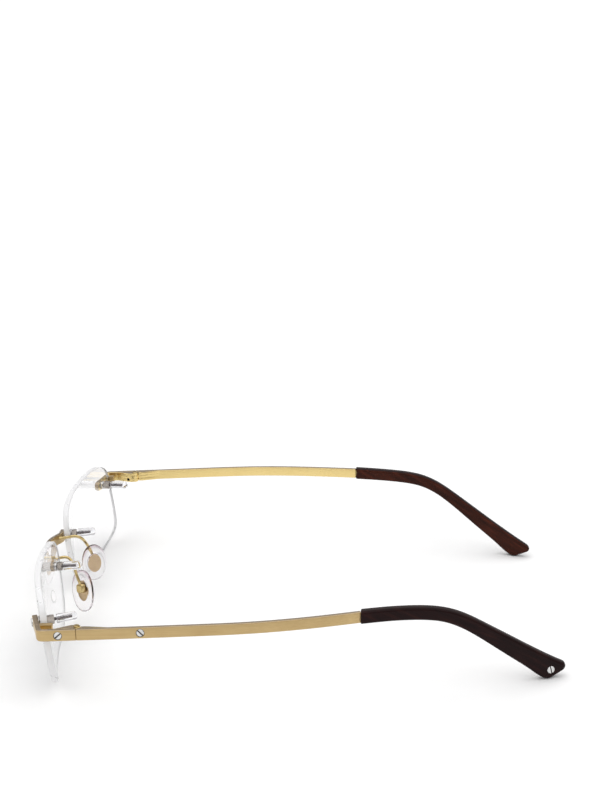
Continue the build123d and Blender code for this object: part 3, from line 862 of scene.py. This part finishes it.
def make_tip(side_name, side):
    """Smooth cover with soft long edges, its slanted end rounded off at both corners."""
    upper, lower = tip_edges()
    last = upper[-1][0]
    reach = [0.004, 0.015, 0.035, 0.07, 0.12, 0.19, 0.28, 0.4, 0.55, 0.72, 0.9, 1.1, 1.35, 1.65, 2.0, 2.4]
    stations = [COVER_START + v for v in (0, 0.03, 0.08, 0.16, 0.3, 0.6)]
    stations += list(np.arange(COVER_START + 1.4, 133.2, 1.2)) + list(np.arange(133.4, last - 2.6, 0.3))
    stations += [last - v for v in reach[::-1]]
    steps = 8
    rings = []
    for y in stations:
        point, along = axis_at(y)
        out = outwards(along)
        low, high = np.interp(y, lower[:, 0], lower[:, 1]), np.interp(y, upper[:, 0], upper[:, 1])
        back = max(TIP_EDGE_ROUND - (last - y), 0)
        front = max(TIP_FRONT_ROUND - (y - COVER_START), 0)
        drawn = TIP_EDGE_ROUND - math.sqrt(TIP_EDGE_ROUND**2 - back**2)
        drawn_front = TIP_FRONT_ROUND - math.sqrt(TIP_FRONT_ROUND**2 - front**2)
        width = (TIP_THICKNESS - 2 * drawn) - 2 * drawn_front
        height = high - low - 2 * drawn_front
        ring = section(width, height, min(TIP_EDGE_ROUND, height / 2.02, width / 2.02), steps)
        centre = np.array([point[0], y, (low + high) / 2])
        across, up = np.array([1 / out[0], 0, 0]), np.array([0, 0, 1.0])
        rings.append(centre + ring[:, :1] * across + ring[:, 1:] * up)
    shape = Shape()
    # The inner face takes the second material, the lighter, redder acetate copy with painted light.
    loft(shape, rings, section_marks(steps, 0, 0, 1, 0))
    build(f"tip_cover_{side_name}", shape, f"temple_{side_name}", [f"temple_tip_{side_name}"],
          [brown_tip, brown_inner_painted_light], side < 0, 40)


# ---------------------------------------------------------------- lens fixings
def thread(shape, at, low, high):
    """Helical thread as one skin of quads, running out smooth at its end."""
    segments, per_turn = 28, 8
    rows = int((high - low) / THREAD_PITCH * per_turn)
    rings = []
    for r in range(rows + 1):
        z = low + (high - low) * r / rows
        ring = []
        for s in range(segments):
            turn = s / segments
            phase = ((z - low) / THREAD_PITCH - turn) % 1.0
            tooth = 1 - abs(2 * phase - 1)
            fade = min(1.0, (high - z) / 0.3)
            rr = THREAD_RADIUS - THREAD_DEPTH + THREAD_DEPTH * min(tooth * 1.25, 1.0) * fade
            ring.append((rr * math.cos(2 * math.pi * turn), rr * math.sin(2 * math.pi * turn), z))
        rings.append(place(ring, at))
    loft(shape, rings)


def flipped(at, height):
    origin, axes = at
    return origin + axes[2] * height, np.array([axes[0], -axes[1], -axes[2]])


def slotted(shape, at, radius, height, turn, slot, mark, floor_mark):
    """Low screw head with a slot, given as width and depth: two crowned halves and the slot's floor."""
    bevel = 0.1
    half = slot[0] / 2
    floor = height - slot[1]
    turned(shape, [(0, 0), (radius, 0), (radius, floor), (0, floor)], at, 44, floor_mark)
    a0 = math.asin(half / radius)
    c, s = math.cos(math.radians(turn)), math.sin(math.radians(turn))
    for flip in (1, -1):
        outline = [(radius * math.cos(t) * flip, radius * math.sin(t) * flip)
                   for t in np.linspace(a0, math.pi - a0, 24)]
        outline = [(c * u - s * v, s * u + c * v) for u, v in outline]
        o = np.array(outline)
        small = inset(o, bevel)
        rings = []
        for pts, z in ((o, floor), (o, height - bevel), (small, height)):
            rings.append(place(np.column_stack([pts, np.full(len(pts), z)]), at))
        loft(shape, rings, mark)


def make_side_screw(name, node, body, y, turn, mirror):
    """Silver slotted head standing just proud of its pocket, on a short shank."""
    origin, axes = side_frame(y)
    seated = (origin - axes[2] * SIDE_POCKET_DEPTH, axes)
    shape = Shape()
    # The slot's floor and the head's side below it carry painted shade, a dark ring against the pocket.
    slotted(shape, seated, SIDE_SCREW_RADIUS, SIDE_POCKET_DEPTH + SIDE_SCREW_PROUD, turn,
            SIDE_SCREW_SLOT, mark=1, floor_mark=0)
    turned(shape, [(0, -0.7), (0.5, -0.7), (0.5, 0.02), (0, 0.02)], seated, 28, 0)
    build(name, shape, body, [node], [slot_painted_shade, silver], mirror, 40)


def make_lens_screw(name, nodes, stack, mirror):
    at = lens_frame(stack["hole"])
    seat = -(FLANGE + stack["strip"])
    shape = Shape()
    slotted(shape, flipped(at, seat), *LENS_SCREW_HEAD, LENS_SCREW_TURN, LENS_SCREW_SLOT,
            mark=1, floor_mark=1)
    start = seat - 0.02
    shank = [(0, start), (SHANK_RADIUS, start), (SHANK_RADIUS, LENS_THICKNESS), (0, LENS_THICKNESS)]
    turned(shape, shank, at, 36)
    thread(shape, at, LENS_THICKNESS - 0.02, stack["thread_end"])
    build(name, shape, "front", nodes, [thread_steel, silver], mirror, 40)


def make_nut(name, nodes, stack, mirror):
    """Hexagon nut with chamfered corners and a chamfered bore."""
    at = lens_frame(stack["hole"])
    apothem = NUT_FLATS / 2
    corner = apothem / math.cos(math.pi / 6)
    segments = 72
    low, high = NUT_START, NUT_START + stack["nut"]

    def hexagon(limit, z):
        ring = []
        for k in range(segments):
            a = 2 * math.pi * k / segments
            local = (a % (math.pi / 3)) - math.pi / 6
            r = min(apothem / math.cos(local), limit)
            ring.append((r * math.cos(a), r * math.sin(a), z))
        return place(ring, at)

    def circle(r, z):
        return place([(r * math.cos(2 * math.pi * k / segments), r * math.sin(2 * math.pi * k / segments), z)
                      for k in range(segments)], at)

    wide = SCREW_BORE + 0.1
    rings = [circle(SCREW_BORE, low + 0.1), circle(wide, low), hexagon(apothem - 0.02, low)]
    for share in (0.25, 0.5, 0.75, 1.0):
        rings.append(hexagon(apothem + (corner - apothem) * share, low + NUT_CHAMFER * share))
    for share in (1.0, 0.75, 0.5, 0.25):
        rings.append(hexagon(apothem + (corner - apothem) * share, high - NUT_CHAMFER * share))
    rings += [hexagon(apothem - 0.02, high), circle(wide, high), circle(SCREW_BORE, high - 0.1)]
    shape = Shape()
    loft(shape, rings, 0, wrap=True)
    build(name, shape, "front", nodes, [nut_steel], mirror, 25)


def make_cap(name, nodes, stack, mirror):
    """Clear tube with a domed end, open towards the nut."""
    at = lens_frame(stack["hole"])
    radius, low, high = stack["cap_radius"], stack["cap_start"], stack["cap_end"]
    crown = radius * 0.8
    bottom = stack["thread_end"] + 0.1
    profile = [(0.0, bottom), (CAP_BORE - 0.1, bottom), (CAP_BORE, bottom - 0.1), (CAP_BORE, low + 0.1),
               (CAP_BORE + 0.1, low), (radius - 0.12, low), (radius - 0.04, low + 0.04), (radius, low + 0.12)]
    for k in range(11):
        a = math.radians(90 * k / 10)
        profile.append((radius - crown + crown * math.cos(a), high - crown + crown * math.sin(a)))
    profile.append((0.0, high))
    shape = Shape()
    turned(shape, profile, at, 44)
    build(name, shape, "front", nodes, [cap_clear], mirror, 50)


def make_sleeve(name, nodes, stack, mirror):
    at = lens_frame(stack["hole"])
    shape = Shape()
    wide = SCREW_BORE + BORE_CHAMFER
    outer, rim, end = FLANGE_RADIUS, FLANGE_RADIUS - 0.06, LENS_THICKNESS - 0.1
    turned(shape, [(SCREW_BORE, -FLANGE + 0.05), (wide, -FLANGE), (rim, -FLANGE), (outer, -FLANGE + 0.06),
                   (outer, -0.06), (rim, 0.0), (SLEEVE_RADIUS, 0.0), (SLEEVE_RADIUS, end - 0.05),
                   (SLEEVE_RADIUS - 0.05, end), (wide, end), (SCREW_BORE, end - 0.05)], at, closed=True)
    build(name, shape, "front", nodes, [cap_clear], mirror, 40)


def make_washer(name, nodes, stack, mirror):
    at = lens_frame(stack["hole"])
    shape = Shape()
    inner, outer, low, high = SCREW_BORE, WASHER_RADIUS, LENS_THICKNESS + 0.01, LENS_THICKNESS + 0.26
    turned(shape, [(inner, low + 0.05), (inner + 0.05, low), (outer - 0.05, low), (outer, low + 0.05),
                   (outer, high - 0.05), (outer - 0.05, high), (inner + 0.05, high),
                   (inner, high - 0.05)], at, closed=True)
    build(name, shape, "front", nodes, [cap_clear], mirror, 40)


# ---------------------------------------------------------------- nose pads
def pad_frame():
    up = unit(PAD_UP)
    towards = np.array([-math.cos(PAD_SPLAY), math.sin(PAD_SPLAY), 0])
    towards = unit(towards - up * np.dot(towards, up))
    return PAD_CENTRE, np.array([np.cross(up, towards), up, towards])


def make_pad(side_name, side):
    """Clear oval pad, its face towards the nose gently domed, with the plate's recess in its back."""
    count = 72
    outline = []
    for k in range(count):
        t = 2 * math.pi * k / count
        c, s = math.cos(t), math.sin(t)
        outline.append((np.sign(c) * abs(c)**PAD_SQUARENESS, np.sign(s) * abs(s)**PAD_SQUARENESS))
    outline = np.array(outline)

    def ring(sa, sb, z):
        flat = outline * np.array([sa, sb])
        return np.column_stack([flat, np.full(count, z)])

    # Half width, half height and depth, from the recess in the back round the rim to the face.
    rows = [(0.02, 0.03, 0.25), (2.12, 3.17, 0.25), (2.12, 3.17, -0.68), (2.19, 3.24, -0.75),
            (3.0, 5.2, -0.75), (3.5, 5.98, -0.74), (3.72, 6.22, -0.66), (3.84, 6.34, -0.52),
            (PAD_HALF_WIDTH, PAD_HALF_HEIGHT, -0.3), (PAD_HALF_WIDTH, PAD_HALF_HEIGHT, -0.05),
            (3.84, 6.33, 0.14), (3.68, 6.16, 0.34), (3.4, 5.85, 0.5), (2.9, 5.2, 0.62), (2.1, 4.0, 0.70),
            (1.1, 2.2, 0.745), (0.02, 0.03, 0.75)]
    shape = Shape()
    at = pad_frame()
    loft(shape, [place(ring(*row), at) for row in rows])
    obj = build(f"pad_oval_{side_name}", shape, f"pad_{side_name}", [f"nose_pad_{side_name}"],
                [pad_clear], side < 0, 50)
    origin, axes = at
    # Painted shade: the rim value reaches the dark purple-brown only along the upper part of the pad; lower
    # down the rim stays nearly clear.
    values = []
    for vertex in obj.data.vertices:
        p = np.array(vertex.co) / MM + ROW_ORIGIN
        p = (p * np.array([side, 1, 1]) - origin) @ axes.T
        out, up = p[0] / PAD_HALF_WIDTH, p[1] / PAD_HALF_HEIGHT
        high = min(max((up - 0.1) / 0.5, 0.0), 1.0)
        values.append(min(math.hypot(out, up), 1.0) * (0.91 + 0.09 * high))
    attribute = obj.data.attributes.new("rim", "FLOAT", "POINT")
    attribute.data.foreach_set("value", np.array(values, np.float32))


def make_pad_box(side_name, side):
    """Little rounded box that the pad's tab is pinned in, hollow and open towards the pad."""
    # Width, height, corner radius and depth, from the hollow's floor out over the edge to the back.
    rows = [(0.02, 0.02, 0.005, BOX_FLOOR), (0.94, 2.1, 0.1, BOX_FLOOR), (1.04, 2.2, 0.1, BOX_FLOOR + 0.06),
            (1.04, 2.2, 0.1, BOX_FRONT), (2.48, 2.68, 0.74, BOX_FRONT),
            (BOX_WIDTH, BOX_HEIGHT, BOX_CORNER, BOX_FRONT - 0.06)]
    for k in range(9):
        a = math.radians(90 * k / 8)
        drawn = BOX_BACK_ROUND * (1 - math.cos(a))
        rows.append((BOX_WIDTH - 2 * drawn, BOX_HEIGHT - 2 * drawn, BOX_CORNER - drawn,
                     BOX_BACK + BOX_BACK_ROUND - BOX_BACK_ROUND * math.sin(a)))
    rows.append((0.7, 0.8, 0.15, BOX_BACK))
    shape = Shape()
    rings = []
    for width, height, corner, z in rows:
        flat = section(width, height, corner, 6) + np.array([0, BOX_UP])
        rings.append(place(np.column_stack([flat, np.full(len(flat), z)]), pad_frame()))
    loft(shape, rings, 0)
    build(f"pad_cup_{side_name}", shape, "front", [f"pad_box_{side_name}"], [polished_gold],
          side < 0, 40)


# ---------------------------------------------------------------- everything
make_bridge()
for side_name, side in SIDES:
    make_lens(side_name, side)
    make_end_piece(side_name, side)
    make_temple(side_name, side)
    make_tip(side_name, side)
    make_pad(side_name, side)
    make_pad_box(side_name, side)
    mirror = side < 0
    make_side_screw(f"side_screw_front_{side_name}", f"end_screw_{side_name}", "front",
                    END_SCREW_Y, END_SCREW_TURN, mirror)
    make_side_screw(f"side_screw_temple_{side_name}", f"temple_screw_{side_name}", f"temple_{side_name}",
                    TEMPLE_SCREW_Y, TEMPLE_SCREW_TURN, mirror)
    for where, stack in STACKS.items():
        tail = f"{where}_{side_name}"
        make_lens_screw(f"threaded_screw_{tail}", [f"lens_screw_{tail}"], stack, mirror)
        make_nut(f"hex_nut_{tail}", [f"lens_nut_{tail}"], stack, mirror)
        make_cap(f"end_cap_{tail}", [f"lens_cap_{tail}"], stack, mirror)
        make_sleeve(f"clear_sleeve_{tail}", [f"lens_sleeve_{tail}"], stack, mirror)
        make_washer(f"clear_washer_{tail}", [f"lens_washer_{tail}"], stack, mirror)

# CAD nodes whose shape is right as it is.
KEPT = {"lens_shoe": satin_gold, "hinge_screw": polished_gold, "tip_screw": silver,
        "pad_arm": polished_gold, "pad_pin": polished_gold, "pad_plate": plate_gold}
for name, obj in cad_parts.items():
    material = KEPT.get(name.rsplit("_", 1)[0])
    if material is not None:
        obj.data.materials.clear()
        obj.data.materials.append(material)

# ---------------------------------------------------------------- stage, light, camera
floor_mesh = bpy.data.meshes.new("floor")
floor_mesh.from_pydata([(-9, -9, 0), (9, -9, 0), (9, 9, 0), (-9, 9, 0)], [], [(0, 1, 2, 3)])
floor = bpy.data.objects.new("floor", floor_mesh)
bpy.context.scene.collection.objects.link(floor)
floor_material, tree, bsdf = new_material("floor_paper")
paper = noise(tree, coordinates(tree, (1, 1, 1)), 60.0, 3.0, 0.5)
pale = ramp(tree, paper, [(0.3, (0.93, 0.93, 0.93)), (0.7, (0.95, 0.95, 0.95))])
link(tree, pale, bsdf.inputs["Base Color"])
bsdf.inputs["Roughness"].default_value = 0.9
bsdf.inputs["Specular IOR Level"].default_value = 0.0
floor_mesh.materials.append(floor_material)

world = bpy.data.worlds.new("studio")
bpy.context.scene.world = world
world.use_nodes = True
sky = world.node_tree
where = sky.nodes.new("ShaderNodeTexCoord")
split = sky.nodes.new("ShaderNodeSeparateXYZ")
link(sky, where.outputs["Generated"], split.inputs["Vector"])
glow = ramp(sky, split.outputs["Z"], [(0.0, (0.44, 0.43, 0.43)), (0.35, (0.48, 0.47, 0.47)),
                                      (0.62, (1.3, 1.3, 1.3)), (1.0, (1.5, 1.5, 1.5))])
# Low views see a plain pale backdrop over the floor, while the glow lights the object.
path = sky.nodes.new("ShaderNodeLightPath")
backdrop = sky.nodes.new("ShaderNodeMixRGB")
link(sky, path.outputs["Is Camera Ray"], backdrop.inputs["Fac"])
link(sky, glow, backdrop.inputs["Color1"])
backdrop.inputs["Color2"].default_value = (1.0, 1.0, 1.0, 1.0)
link(sky, backdrop.outputs["Color"], sky.nodes["Background"].inputs["Color"])
sky.nodes["Background"].inputs["Strength"].default_value = 1.0
bpy.context.scene.view_settings.view_transform = "Standard"

camera_data = bpy.data.cameras.new("camera")
camera_data.sensor_width = SENSOR
camera_data.lens = CAMERA_LENS
camera = bpy.data.objects.new("camera", camera_data)
bpy.context.scene.collection.objects.link(camera)
level = math.cos(CAMERA_PITCH)
look = Vector((-level * math.cos(CAMERA_YAW), -level * math.sin(CAMERA_YAW), -math.sin(CAMERA_PITCH)))
camera.location = (CAMERA_PLACE - ROW_ORIGIN) * MM
camera.rotation_euler = look.to_track_quat("-Z", "Y").to_euler()
camera_data.clip_start = 0.01
bpy.context.scene.camera = camera
